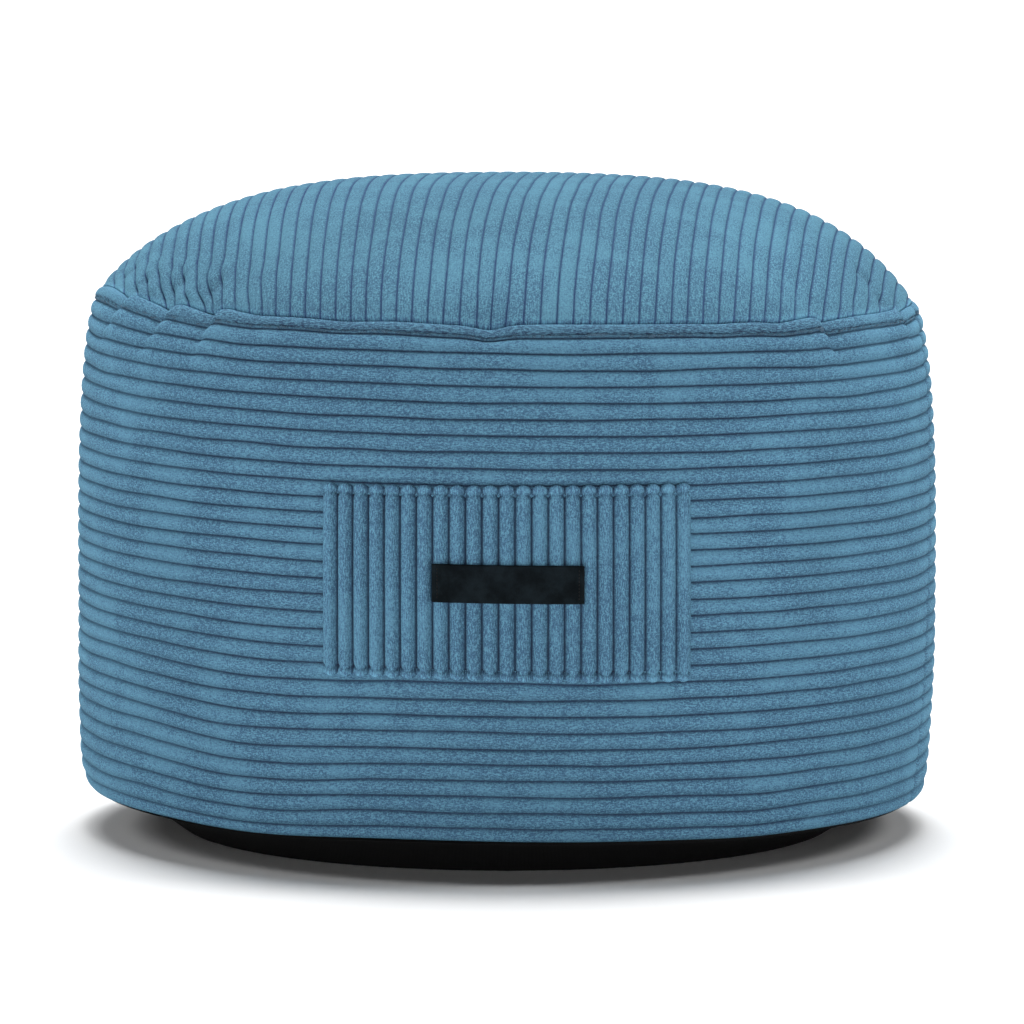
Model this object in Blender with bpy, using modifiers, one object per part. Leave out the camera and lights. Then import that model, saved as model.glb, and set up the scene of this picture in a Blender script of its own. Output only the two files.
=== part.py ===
"""Round corduroy footstool: filled crown, side band and black base, with a patch and a label.

Metres, +Z up. The origin is on the floor under the middle, and the patch faces -Y.
Run with: blender --background --python part.py
"""

import math

import bmesh
import bpy

# Body
BODY_RADIUS = 0.250  # at the widest, halfway up
SEAM_HEIGHT = 0.3085  # top seam, crown to band
SEAM_RADIUS = 0.2355
CROWN_RISE = 0.0704  # middle of the crown above the top seam
CROWN_FULLNESS = 3.6  # higher: flatter in the middle, rounder at the shoulder
CROWN_SHOULDER = 0.84  # lower: steeper where the crown meets the seam
CROWN_SLACK = 0.13  # how much flatter than round it is halfway out
CROWN_RINGS = 11
HEM_HEIGHT = 0.0225  # bottom seam, band to base
HEM_RADIUS = 0.2385
REST_RADIUS = 0.188  # flat round that stands on the floor
PIECE_GAP = 0.0003  # between neighbouring pieces
TURN_STEPS = 96
SHARP_ANGLE = math.radians(50.0)  # edges sharper than this stay crisp

# Front patch and label: width along the curve, height, thickness
PATCH_WIDTH = 0.207
PATCH_HEIGHT = 0.109
PATCH_THICKNESS = 0.0026
PATCH_MIDDLE = 0.1672  # height of its centre
LABEL_WIDTH = 0.082
LABEL_HEIGHT = 0.0215
LABEL_THICKNESS = 0.0016

# Side of the band: height share from hem to seam, radius
BAND_PROFILE = (
    (1.000, SEAM_RADIUS),
    (0.980, 0.2385),
    (0.925, 0.2433),
    (0.840, 0.2466),
    (0.750, 0.2483),
    (0.670, 0.2493),
    (0.580, 0.2498),
    (0.410, BODY_RADIUS),
    (0.250, 0.2497),
    (0.145, 0.2485),
    (0.075, 0.2468),
    (0.030, 0.2447),
    (0.010, 0.2427),
    (0.000, HEM_RADIUS),
)

# Underside of the base: share of the way from the rest flat to the hem, height share
BASE_PROFILE = ((1.00, 1.00), (0.90, 0.96), (0.68, 0.85), (0.44, 0.62), (0.20, 0.28), (0.00, 0.00))

# How the filled body has settled
RING_SLOPE = -0.015  # the rings stand higher at the left (-X)
SLOPE_FADE = 0.060  # height over which the slope dies out into the crown
# Sags of the band: azimuth from the front, half width (degrees), depth, height where it starts and
# is full, and the height below which it dies out
SAGS = (
    (-35.0, 15.0, 0.0058, 0.190, 0.045, 0.0450),
    (34.0, 9.0, 0.0016, 0.080, 0.030, 0.0450),
    (-66.0, 26.0, 0.0026, 0.080, 0.035, 0.0225),
    (62.0, 30.0, 0.0010, 0.080, 0.035, 0.0225),
)
# Places where the rings ride up or hang: azimuth, half width (degrees), height, half height, rise
RIDES = (
    (-84.0, 27.0, 0.277, 0.034, 0.0038),
    (-76.0, 10.0, 0.304, 0.011, 0.0028),
    (-48.8, 12.8, 0.305, 0.014, -0.0028),
    (-64.0, 30.0, 0.115, 0.035, 0.0014),
    (-25.0, 18.0, 0.225, 0.030, -0.0008),
    (-15.0, 24.0, 0.055, 0.030, 0.0008),
    (84.0, 16.0, 0.250, 0.055, 0.0014),
    (84.0, 16.0, 0.060, 0.050, 0.0022),
)
# Fuller and slacker sides: azimuth, half width (degrees), height, half height, how far out
SIDES = (
    (-90.0, 45.0, 0.065, 0.040, 0.0015),
    (-90.0, 40.0, 0.030, 0.022, 0.0024),
    (90.0, 40.0, 0.062, 0.035, -0.0008),
    (90.0, 40.0, 0.024, 0.018, 0.0006),
)
# Puckers below and above the top seam: azimuth, half width (degrees), how far the cloth draws in
PUCKERS = (
    (-58.0, 3.5, 0.0030),
    (-49.0, 3.5, 0.0034),
    (-40.0, 3.5, 0.0022),
    (-22.0, 4.0, 0.0014),
    (37.0, 4.0, 0.0014),
    (47.0, 3.5, 0.0018),
    (152.0, 5.0, 0.0016),
    (-130.0, 5.0, 0.0016),
)
PUCKER_REACH = 0.036


def remove_objects():
    for thing in list(bpy.data.objects):
        bpy.data.objects.remove(thing, do_unlink=True)


def new_material(name, colour, roughness):
    material = bpy.data.materials.new(name)
    material.use_nodes = True
    shader = material.node_tree.nodes["Principled BSDF"]
    shader.inputs["Base Color"].default_value = (*colour, 1.0)
    shader.inputs["Roughness"].default_value = roughness
    shader.inputs["Metallic"].default_value = 0.0
    return material


def ease(value, start, end):
    """Smooth step from 0 at start to 1 at end."""
    share = min(max((value - start) / (end - start), 0.0), 1.0)
    return share * share * (3.0 - 2.0 * share)


def band_radius(height):
    """Outer radius of the band at a height, read between the rows of its profile."""
    share = (height - HEM_HEIGHT) / (SEAM_HEIGHT - HEM_HEIGHT)
    for (high, radius_high), (low, radius_low) in zip(BAND_PROFILE, BAND_PROFILE[1:]):
        if share >= low:
            mix = (share - low) / (high - low)
            return radius_low + (radius_high - radius_low) * mix
    return HEM_RADIUS


def settle(x, y, z):
    """Where a point of the even, turned body lies once the filling has settled."""
    radius = math.hypot(x, y)
    if radius < 1e-6:
        return x, y, z
    azimuth = math.degrees(math.atan2(x, -y))
    reach = (radius / BODY_RADIUS) ** 2
    standing = ease(z, 0.0, HEM_HEIGHT)
    lift = RING_SLOPE * x * standing * (1.0 - ease(z, SEAM_HEIGHT, SEAM_HEIGHT + SLOPE_FADE))
    for middle, half_width, depth, start, full, low in SAGS:
        side = math.exp(-(((azimuth - middle) / half_width) ** 2))
        lift -= depth * side * reach * ease(z, start, full) * ease(z, 0.0, low)
    for middle, half_width, height, half_height, rise in RIDES:
        side = math.exp(-(((azimuth - middle) / half_width) ** 2) - ((z - height) / half_height) ** 2)
        lift += rise * side * reach * standing
    draw = 0.0
    near_seam = 1.0 - ease(abs(z - SEAM_HEIGHT), 0.0, PUCKER_REACH)
    for middle, half_width, depth in PUCKERS:
        side = math.exp(-(((azimuth - middle) / half_width) ** 2))
        draw += depth * side * reach * near_seam
    for middle, half_width, height, half_height, out in SIDES:
        side = math.exp(-(((azimuth - middle) / half_width) ** 2) - ((z - height) / half_height) ** 2)
        draw -= out * side * reach * standing
    scale = (radius - draw) / radius
    return x * scale, y * scale, z + lift


def settle_mesh(mesh):
    for vertex in mesh.vertices:
        vertex.co = settle(*vertex.co)
    mesh.update()


def turned_piece(name, rows, material, collection):
    """Turn rows of (radius, height), which run from the axis down the outer side and back to it."""
    profile = bpy.data.meshes.new(name + "_profile")
    edges = [(i, i + 1) for i in range(len(rows) - 1)]
    profile.from_pydata([(radius, 0.0, height) for radius, height in rows], edges, [])
    turned = bpy.data.objects.new(name + "_turned", profile)
    collection.objects.link(turned)
    screw = turned.modifiers.new("Turn", "SCREW")
    screw.axis = "Z"
    screw.steps = TURN_STEPS
    screw.render_steps = TURN_STEPS
    screw.use_merge_vertices = True
    screw.merge_threshold = 0.0001
    graph = bpy.context.evaluated_depsgraph_get()
    mesh = bpy.data.meshes.new_from_object(turned.evaluated_get(graph), depsgraph=graph)
    bpy.data.objects.remove(turned, do_unlink=True)
    mesh.name = name
    settle_mesh(mesh)
    return finish_piece(name, mesh, material, collection)


def finish_piece(name, mesh, material, collection):
    mesh.materials.clear()
    mesh.materials.append(material)
    mesh.shade_smooth()
    mesh.set_sharp_from_angle(angle=SHARP_ANGLE)
    piece = bpy.data.objects.new(name, mesh)
    collection.objects.link(piece)
    return piece


def crown_rows():
    """The crown: full in the middle, and steep where it comes down to the top seam."""
    foot = SEAM_HEIGHT + PIECE_GAP / 2.0
    rows = []
    for ring in range(CROWN_RINGS):
        share = math.sin(math.pi / 2.0 * ring / CROWN_RINGS)
        slack = CROWN_SLACK * share**2 * (1.0 - share**2) ** 2
        rise = CROWN_RISE * ((1.0 - share**CROWN_FULLNESS) ** CROWN_SHOULDER - slack)
        rows.append((SEAM_RADIUS * share, foot + rise))
    rows.append((SEAM_RADIUS, foot))
    rows.append((0.0, foot))
    return rows


def band_rows():
    low = HEM_HEIGHT + PIECE_GAP / 2.0
    high = SEAM_HEIGHT - PIECE_GAP / 2.0
    side = [(radius, low + share * (high - low)) for share, radius in BAND_PROFILE]
    return [(0.0, high), *side, (0.0, low)]


def base_rows():
    high = HEM_HEIGHT - PIECE_GAP / 2.0
    span = HEM_RADIUS - REST_RADIUS
    side = [(REST_RADIUS + share * span, high * rise) for share, rise in BASE_PROFILE]
    return [(0.0, high), *side, (0.0, 0.0)]


def sheet_piece(name, size, middle, lift_off, thickness, cells, material, collection):
    """A sewn-on sheet that follows the front of the band, lift_off proud of it."""
    width, height = size
    bm = bmesh.new()
    bmesh.ops.create_grid(bm, x_segments=cells[0], y_segments=cells[1], size=0.5)
    mesh = bpy.data.meshes.new(name)
    bm.to_mesh(mesh)
    bm.free()
    for vertex in mesh.vertices:
        z = middle + vertex.co.y * height
        radius = band_radius(z) + lift_off
        angle = vertex.co.x * width / BODY_RADIUS
        vertex.co = settle(radius * math.sin(angle), -radius * math.cos(angle), z)
    mesh.update()
    piece = finish_piece(name, mesh, material, collection)
    shell = piece.modifiers.new("Thickness", "SOLIDIFY")
    shell.thickness = thickness
    shell.offset = 1.0
    return piece


def build():
    remove_objects()
    collection = bpy.data.collections.new("round_corduroy_footstool")
    bpy.context.scene.collection.children.link(collection)
    corduroy = new_material("blue_corduroy", (0.095, 0.235, 0.345), 0.92)
    band_cloth = new_material("blue_corduroy_band", (0.090, 0.225, 0.330), 0.92)
    patch_cloth = new_material("blue_corduroy_patch", (0.085, 0.210, 0.310), 0.92)
    base_cloth = new_material("black_base_cloth", (0.008, 0.008, 0.009), 0.85)
    leather = new_material("black_leather", (0.010, 0.012, 0.014), 0.55)

    turned_piece("top_panel", crown_rows(), corduroy, collection)
    turned_piece("side_band", band_rows(), band_cloth, collection)
    turned_piece("base_panel", base_rows(), base_cloth, collection)
    sheet_piece(
        "front_patch",
        (PATCH_WIDTH, PATCH_HEIGHT),
        PATCH_MIDDLE,
        PIECE_GAP,
        PATCH_THICKNESS,
        (30, 12),
        patch_cloth,
        collection,
    )
    sheet_piece(
        "label",
        (LABEL_WIDTH, LABEL_HEIGHT),
        PATCH_MIDDLE,
        2.0 * PIECE_GAP + PATCH_THICKNESS,
        LABEL_THICKNESS,
        (16, 2),
        leather,
        collection,
    )


build()
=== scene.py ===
import math

import bpy
import numpy as np
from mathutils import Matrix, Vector, kdtree


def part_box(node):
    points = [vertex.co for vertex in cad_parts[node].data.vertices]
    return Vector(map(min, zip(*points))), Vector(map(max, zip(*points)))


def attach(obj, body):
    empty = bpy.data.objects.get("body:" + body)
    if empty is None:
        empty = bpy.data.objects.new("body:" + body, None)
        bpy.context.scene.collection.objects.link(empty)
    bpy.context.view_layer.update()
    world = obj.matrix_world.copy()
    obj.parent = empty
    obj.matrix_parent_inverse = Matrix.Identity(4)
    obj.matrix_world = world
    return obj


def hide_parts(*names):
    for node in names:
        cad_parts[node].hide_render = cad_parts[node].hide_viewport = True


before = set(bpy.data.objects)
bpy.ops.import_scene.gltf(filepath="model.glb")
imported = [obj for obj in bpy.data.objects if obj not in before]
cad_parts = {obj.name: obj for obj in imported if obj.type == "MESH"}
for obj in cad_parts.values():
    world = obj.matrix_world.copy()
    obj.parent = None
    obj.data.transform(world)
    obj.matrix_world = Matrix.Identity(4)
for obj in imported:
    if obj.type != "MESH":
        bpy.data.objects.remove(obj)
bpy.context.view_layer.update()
print("frame loaded:", sorted(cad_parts))

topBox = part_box("top_panel")
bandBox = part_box("side_band")
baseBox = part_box("base_panel")
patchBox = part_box("front_patch")
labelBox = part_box("label")

# the filled body as sewn, before it settles and its rings sag or ride up; sizes come from the frame
body = {
    "radius": bandBox[1].x,
    "seamRadius": (topBox[1].x - topBox[0].x) / 2,
    "hemRadius": (baseBox[1].y - baseBox[0].y) / 2,
    "hemHeight": 0.0225,
    "restRadius": 0.188,
    "crownRise": 0.0706,  # middle of the crown above the top seam
    "crownFullness": 3.6,  # higher: flatter in the middle
    "crownShoulder": 0.84,  # lower: steeper at the seam
    "crownSlack": 0.13,  # how much flatter than round it is halfway out
    "sideFullness": 2.6,
    "topFrom": 0.45,  # share of the side's height above which it narrows
    "topCorner": 0.53,
    "bottomFrom": 0.41,  # and below which it narrows
    "bottomCorner": 0.36,
}
bodyRadius, seamRadius, hemRadius = body["radius"], body["seamRadius"], body["hemRadius"]
seamHeight, hemHeight = topBox[1].z - body["crownRise"], body["hemHeight"]

# how the filling has settled and where the seam draws the cloth in; azimuth 0 is the front, degrees
settling = {
    "tilt": -0.015,  # the rings stand higher at the left
    "tiltFade": 0.06,
    # middle, half width, depth, height where the sag starts, where it is full, below which it dies out
    "sags": (
        (-35, 15, 0.0058, 0.19, 0.045, 0.045),
        (34, 9, 0.0016, 0.08, 0.03, 0.045),
        (-66, 26, 0.0026, 0.08, 0.035, 0.0225),
        (62, 30, 0.001, 0.08, 0.035, 0.0225),
    ),
    # places where the rings ride up or hang: middle, half width, height, half height, rise
    "rides": (
        (-84, 27, 0.277, 0.034, 0.0038),
        (-76, 10, 0.304, 0.011, 0.0028),
        (-48.8, 12.8, 0.305, 0.014, -0.0028),
        (-64, 30, 0.115, 0.035, 0.0014),
        (-25, 18, 0.225, 0.03, -0.0008),
        (-15, 24, 0.055, 0.03, 0.0008),
        (84, 16, 0.25, 0.055, 0.0014),
        (84, 16, 0.06, 0.05, 0.0022),
    ),
    # fuller and slacker sides: middle, half width, height, half height, how far out
    "sides": (
        (-90, 45, 0.065, 0.04, 0.0015),
        (-90, 40, 0.03, 0.022, 0.0024),
        (90, 40, 0.062, 0.035, -0.0008),
        (90, 40, 0.024, 0.018, 0.0006),
    ),
    # middle, half width, how far the cloth draws in
    "draws": (
        (-58, 3.5, 0.0014),
        (-49, 3.5, 0.0016),
        (-22, 4, 0.001),
        (47, 3.5, 0.0012),
        (152, 5, 0.0014),
        (-130, 5, 0.0014),
    ),
    "drawReach": 0.036,
}

# folds where the band was gathered into the top seam
tucks = {
    "reachDown": 0.036,  # how far below the seam they die out
    "roundOff": 3,  # degrees over which the upper layer's end rounds off
    "sink": 0.0023,  # how deep the lower layer goes under
    "underHalf": 2.6,  # degrees beside the fold that sink, and that puff up on top of it
    "overHalf": 6,
    # azimuth, lift just before, lift just after, degrees before, degrees after, layer on top,
    # degrees that the fold leans per metre of depth, how sharp it is
    "folds": (
        (-64.6, -0.0004, 0.0029, 7.5, 15, 1, 286, 1),
        (-52.7, -0.0009, 0.0037, 4, 11.5, 1, 170, 1),
        (-42.9, -0.0004, 0.0039, 7.5, 8, 1, 110, 1),
        (47.6, 0.0024, -0.0019, 4, 10, -1, 80, 0.75),
        (70.8, 0.0012, -0.0016, 4, 6, -1, 80, 0.75),
        (118, 0.0005, -0.0013, 6, 10, -1, 118, 0.5),
        (164, -0.0002, 0.0016, 5, 13, 1, 118, 0.6),
        (-141, -0.0002, 0.0018, 5, 14, 1, 118, 0.6),
        (-112, 0.0005, -0.0012, 6, 9, -1, 118, 0.5),
    ),
    # small dips and rises of the seam: azimuth, half width, depth, how far down they reach
    "dips": (
        (-2.3, 2.3, 0.0026, 0.017),
        (-5.5, 7, 0.0013, 0.02),
        (-22, 4.5, 0.0013, 0.017),
        (29, 2.5, 0.0006, 0.017),
        (39.4, 2.6, 0.0012, 0.017),
        (101, 3, 0.0016, 0.017),
        (-73, 7, -0.0034, 0.0075),
    ),
}

join = {"azimuth": 80, "lean": 26, "step": 0.002, "depth": 0.0011, "halfWidth": 0.55, "gap": 0.05}


def ease(value, start, end):
    share = np.clip((value - start) / (end - start), 0, 1)
    return share * share * (3 - 2 * share)


def fade(value, start, end):
    return 1 - ease(value, start, end)


def wrapped(angle):
    return (angle + 180) % 360 - 180


def hill(distance, halfWidth):
    # 1 in the middle, dying out to both sides
    return np.exp(-((distance / halfWidth) ** 2))


def hillAt(azimuth, middle, halfWidth):
    return hill(wrapped(azimuth - middle), halfWidth)


def spots(rows, azimuth, height):
    # adds up soft spots on the side: middle, half width, height, half height, amount
    total = 0
    for middle, halfWidth, spotHeight, halfHeight, amount in rows:
        total = total + amount * hillAt(azimuth, middle, halfWidth) * hill(height - spotHeight, halfHeight)
    return total


def turned(azimuth, out, up):
    # places or directions from an azimuth in degrees, a length outwards and a length upwards
    angle = np.radians(azimuth)
    return np.stack(np.broadcast_arrays(out * np.sin(angle), -out * np.cos(angle), up), -1)


def unit(directions):
    return directions / np.linalg.norm(directions, axis=-1, keepdims=True)


def sideRadius(height):
    # radius over the tops of the ribs, on the even body
    share = (height - hemHeight) / (seamHeight - hemHeight)
    up = np.clip((share - body["topFrom"]) / (1 - body["topFrom"]), 0, 1) ** body["sideFullness"]
    down = np.clip((body["bottomFrom"] - share) / body["bottomFrom"], 0, 1) ** body["sideFullness"]
    inAbove = (bodyRadius - seamRadius) * (1 - (1 - up) ** body["topCorner"])
    inBelow = (bodyRadius - hemRadius) * (1 - (1 - down) ** body["bottomCorner"])
    return bodyRadius - (inAbove + inBelow)


def sideNormal(height):
    # outward and upward parts
    step = 0.0006
    high = np.minimum(height + step, seamHeight)
    low = np.maximum(height - step, hemHeight)
    run, rise = sideRadius(high) - sideRadius(low), high - low
    length = np.hypot(run, rise)
    return rise / length, -run / length


def crownHeight(share):
    full = np.clip(1 - share ** body["crownFullness"], 0, 1)
    slack = body["crownSlack"] * share**2 * (1 - share**2) ** 2
    return seamHeight + body["crownRise"] * (full ** body["crownShoulder"] - slack)


def crownNormal(share):
    full = np.clip(1 - share ** body["crownFullness"], 0.004, 1)
    slope = body["crownRise"] * body["crownShoulder"] * body["crownFullness"] / seamRadius
    slope = slope * share ** (body["crownFullness"] - 1) * full ** (body["crownShoulder"] - 1)
    length = np.hypot(slope, 1)
    return slope / length, 1 / length


# distance over the crown to the seam, by share of the radius
crownShares = 1 - np.linspace(0, 1, 600) ** 2
crownSteps = np.diff(np.stack([crownShares * seamRadius, crownHeight(crownShares)], 1), axis=0)
crownWalked = np.concatenate([[0], np.cumsum(np.linalg.norm(crownSteps, axis=1))])[::-1]
crownShares = crownShares[::-1]


def settle(points):
    x, y, z = points[..., 0], points[..., 1], points[..., 2]
    radius = np.maximum(np.hypot(x, y), 1e-6)
    azimuth = np.degrees(np.arctan2(x, -y))
    reach = (radius / bodyRadius) ** 2
    standing = ease(z, 0, hemHeight)
    lift = settling["tilt"] * x * standing * fade(z, seamHeight, seamHeight + settling["tiltFade"])
    for middle, halfWidth, depth, start, full, low in settling["sags"]:
        sag = depth * hillAt(azimuth, middle, halfWidth) * ease(z, start, full) * ease(z, 0, low)
        lift = lift - sag * reach
    lift = lift + spots(settling["rides"], azimuth, z) * reach * standing
    drawn = -spots(settling["sides"], azimuth, z) * reach * standing
    nearSeam = fade(np.abs(z - seamHeight), 0, settling["drawReach"])
    for middle, halfWidth, depth in settling["draws"]:
        drawn = drawn + depth * hillAt(azimuth, middle, halfWidth) * reach * nearSeam
    scale = (radius - drawn) / radius
    return np.stack([x * scale, y * scale, z + lift], -1)


def gathering(azimuth, depth):
    # lift of the rings and how deep they sink, at a depth below the seam
    strength = fade(depth, 0, tucks["reachDown"])
    lift, sink = 0, 0
    for place, before, after, degreesBefore, degreesAfter, side, slant, sharp in tucks["folds"]:
        onTop = wrapped(azimuth - (place - side * slant * depth)) * side
        high, highReach = (after, degreesAfter) if side > 0 else (before, degreesBefore)
        low, lowReach = (before, degreesBefore) if side > 0 else (after, degreesAfter)
        upper = high * np.clip(1 - onTop / highReach, 0, 1) ** 1.3
        lower = low * np.clip(1 + onTop / lowReach, 0, 1) ** 1.3
        toFull = np.clip(1 - onTop * sharp / tucks["roundOff"], 0, 1)
        nose = np.sqrt(1 - toFull**2)
        lift = lift + strength * np.where(onTop >= 0, low + (upper - low) * nose, lower)
        under = hill(onTop, tucks["underHalf"]) * (onTop < 0) * (0.35 + 0.65 * ease(depth, 0.001, 0.009))
        over = (1 - 1.5 * toFull**2) * hill(onTop, tucks["overHalf"]) * (onTop >= 0)
        sink = sink + strength * tucks["sink"] * sharp * (under - 0.55 * over)
    for middle, halfWidth, dip, reachDown in tucks["dips"]:
        dip = dip * fade(depth, 0.15 * reachDown, reachDown)
        lift = lift - dip * hillAt(azimuth, middle, halfWidth)
    return lift, sink


def ribShape(across, fullness, corner):
    # 0 in the groove, 1 on the crest; across runs from 0 to 1 over one rib
    return (1 - np.abs(2 * across - 1) ** fullness) ** corner


# pressure on a coarse copy of the body; how far it swells from place to place goes to the fine cloth
filling = {
    "voxel": 0.0085,
    "startSize": 0.985,
    "unevenness": 0.55,  # of the pressure, from lump to lump
    "lumpSize": 0.085,
    "frames": 20,
    "sewnHalf": 0.008,  # what lies this close to a seam's height is sewn fast
    "sewnDeep": 0.01,
    "standsBelow": 0.006,
    "cap": 0.006,
    "mostSwell": 0.0022,
    "spread": 0.011,
    "seed": 11,
    "cloth": {
        "quality": 5,
        "mass": 0.3,
        "tension_stiffness": 18,
        "compression_stiffness": 18,
        "shear_stiffness": 6,
        "bending_stiffness": 0.6,
        "use_pressure": True,
        "uniform_pressure_force": 4,
        "vertex_group_pressure": "filled",
        "vertex_group_mass": "sewn",
    },
}


def lumps(points, size, seed):
    # soft seeded noise, about -1 to 1
    draw = np.random.default_rng(seed)
    total = np.zeros(len(points))
    for _ in range(14):
        direction = unit(draw.normal(size=3))
        wave = 2 * math.pi / (size * draw.uniform(0.7, 1.6))
        total = total + np.sin(points @ direction * wave + draw.uniform(0.0, 2 * math.pi))
    return total / 3.2


def meshAsMade(thing):
    # a copy of its mesh with its modifiers applied
    graph = bpy.context.evaluated_depsgraph_get()
    return bpy.data.meshes.new_from_object(thing.evaluated_get(graph), depsgraph=graph)


def coarseBody():
    points, faces = [], []
    for node in ("top_panel", "side_band", "base_panel"):
        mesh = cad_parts[node].data
        start = len(points)
        points.extend([vertex.co * filling["startSize"] for vertex in mesh.vertices])
        faces.extend([[start + index for index in polygon.vertices] for polygon in mesh.polygons])
    mesh = bpy.data.meshes.new("fillingForm")
    mesh.from_pydata(points, [], faces)
    form = bpy.data.objects.new("fillingForm", mesh)
    bpy.context.scene.collection.objects.link(form)
    remesh = form.modifiers.new("Remesh", "REMESH")
    remesh.mode = "VOXEL"
    remesh.voxel_size = filling["voxel"]
    even = meshAsMade(form)
    form.modifiers.clear()
    form.data = even
    return form


def meshNumbers(mesh, kind):
    flat = np.zeros(len(mesh.vertices) * 3, np.float32)
    mesh.vertices.foreach_get(kind, flat)
    return flat.reshape(-1, 3)


def simulateFilling():
    form = coarseBody()
    start = meshNumbers(form.data, "co").astype(float)
    even = start / filling["startSize"]
    radius, height = np.hypot(even[:, 0], even[:, 1]), even[:, 2]
    tilted = height - settling["tilt"] * even[:, 0]
    pinned = height < filling["standsBelow"]
    for sewnHeight, sewnRadius in ((seamHeight, seamRadius), (hemHeight, hemRadius)):
        near = np.abs(tilted - sewnHeight) < filling["sewnHalf"]
        pinned = pinned | near & (radius > sewnRadius - filling["sewnDeep"])
    form.vertex_groups.new(name="sewn").add(np.flatnonzero(pinned).tolist(), 1.0, "REPLACE")
    filled = form.vertex_groups.new(name="filled")
    lumpy = np.clip(lumps(even, filling["lumpSize"], filling["seed"]), -1, 1)
    for index, weight in enumerate(1 - filling["unevenness"] * (0.5 - 0.5 * lumpy)):
        filled.add([index], float(weight), "REPLACE")
    cloth = form.modifiers.new("Cloth", "CLOTH")
    for key, value in filling["cloth"].items():
        setattr(cloth.settings, key, value)
    cloth.settings.effector_weights.gravity = 0
    cloth.collision_settings.use_self_collision = False
    cloth.point_cache.frame_start = 1
    cloth.point_cache.frame_end = filling["frames"]
    scene = bpy.context.scene
    for number in range(1, filling["frames"] + 1):
        scene.frame_set(number)
    moved = meshNumbers(meshAsMade(form), "co").astype(float) - start
    outward = (moved * meshNumbers(form.data, "normal")).sum(1)
    outward = np.clip(outward, -filling["cap"], filling["cap"])
    scene.frame_set(1)
    bpy.data.objects.remove(form, do_unlink=True)
    # the even part of the swelling is in the body's own size already, belt by belt
    onCrown = height > seamHeight - 0.004
    belt = np.where(onCrown, 1 + np.round((1 - radius / seamRadius) * 20), -1 - np.round(height / 0.012))
    for value in np.unique(belt):
        here = belt == value
        outward[here] = outward[here] - outward[here].mean()
    least, most = outward.min(), outward.max()
    print("filling simulated:", len(start), "points, swell", round(least, 4), "to", round(most, 4))
    return even, np.clip(outward, -filling["mostSwell"], filling["mostSwell"])


swellTree, swellValues = None, None
formPoints, swellValues = simulateFilling()
swellTree = kdtree.KDTree(len(formPoints))
for index, point in enumerate(formPoints):
    swellTree.insert(point, index)
swellTree.balance()


def swellOver(grid, rowCount=30, columnCount=110):
    # swelling over a grid of points, looked up at some of them and read between
    rows, columns = grid.shape[:2]
    if swellTree is None:
        return np.zeros((rows, columns))
    rowPicks = np.unique(np.linspace(0, rows - 1, rowCount).astype(int))
    columnPicks = np.unique(np.linspace(0, columns - 1, columnCount).astype(int))
    found = np.zeros((len(rowPicks), len(columnPicks)))
    for i, row in enumerate(rowPicks):
        for j, column in enumerate(columnPicks):
            near = swellTree.find_n(Vector(grid[row, column]), 14)
            weights = hill(np.array([distance for _, _, distance in near]), filling["spread"])
            values = np.array([swellValues[index] for _, index, _ in near])
            found[i, j] = (weights * values).sum() / max(weights.sum(), 1e-9)
    wide = np.array([np.interp(np.arange(columns), columnPicks, line) for line in found])
    return np.array([np.interp(np.arange(rows), rowPicks, line) for line in wide.T]).T


# faces and pieces
def gridFaces(rows, columns, closed=False):
    steps = columns if closed else columns - 1
    row, column = np.meshgrid(np.arange(rows - 1), np.arange(steps), indexing="ij")
    here, after = row * columns + column, row * columns + (column + 1) % columns
    return np.stack([here, after, after + columns, here + columns], -1).reshape(-1, 4).tolist()


def fanFaces(loop, centre):
    return [[loop[i], loop[(i + 1) % len(loop)], centre] for i in range(len(loop))]


def joinLoops(first, second):
    count = len(first)
    return [[first[i], second[i], second[(i + 1) % count], first[(i + 1) % count]] for i in range(count)]


def rimLoop(rows, columns):
    # the outermost points of a grid, once round
    index = np.arange(rows * columns).reshape(rows, columns)
    return np.concatenate([index[0], index[1:-1, -1], index[-1, ::-1], index[-2:0:-1, 0]]).tolist()


def closedDrum(rings, centres):
    # rings of points from the top down, closed by a centre above and one below
    rows, columns = rings.shape[:2]
    total = rows * columns
    faces = gridFaces(rows, columns, closed=True)
    faces += fanFaces(list(range(columns))[::-1], total)
    faces += fanFaces(list(range(total - columns, total)), total + 1)
    return np.concatenate([rings.reshape(-1, 3), np.array(centres)]), faces


def closedSheet(upper, lower):
    # an upper and an under grid of points, joined round the rim
    rows, columns = upper.shape[:2]
    size = rows * columns
    loop = rimLoop(rows, columns)
    faces = gridFaces(rows, columns)
    faces += [[size + index for index in face][::-1] for face in faces]
    faces += joinLoops(loop, [size + index for index in loop])
    return np.concatenate([upper.reshape(-1, 3), lower.reshape(-1, 3)]), faces


def facingOut(points, faces):
    # turns the faces over if the closed mesh is inside out
    volume = 0
    for size in {len(face) for face in faces}:
        corners = points[np.array([face for face in faces if len(face) == size])]
        for i in range(1, size - 1):
            volume += (corners[:, 0] * np.cross(corners[:, i], corners[:, i + 1])).sum()
    return faces if volume > 0 else [face[::-1] for face in faces]


def addPiece(name, points, faces, material, **values):
    mesh = bpy.data.meshes.new(name)
    mesh.from_pydata(points.tolist(), [], facingOut(points, faces))
    for key, numbers in values.items():
        attribute = mesh.attributes.new(key, "FLOAT", "POINT")
        attribute.data.foreach_set("value", np.asarray(numbers, np.float32).ravel())
    mesh.shade_smooth()
    mesh.materials.append(material)
    piece = bpy.data.objects.new(name, mesh)
    bpy.context.scene.collection.objects.link(piece)
    mesh.validate()
    return piece


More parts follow.
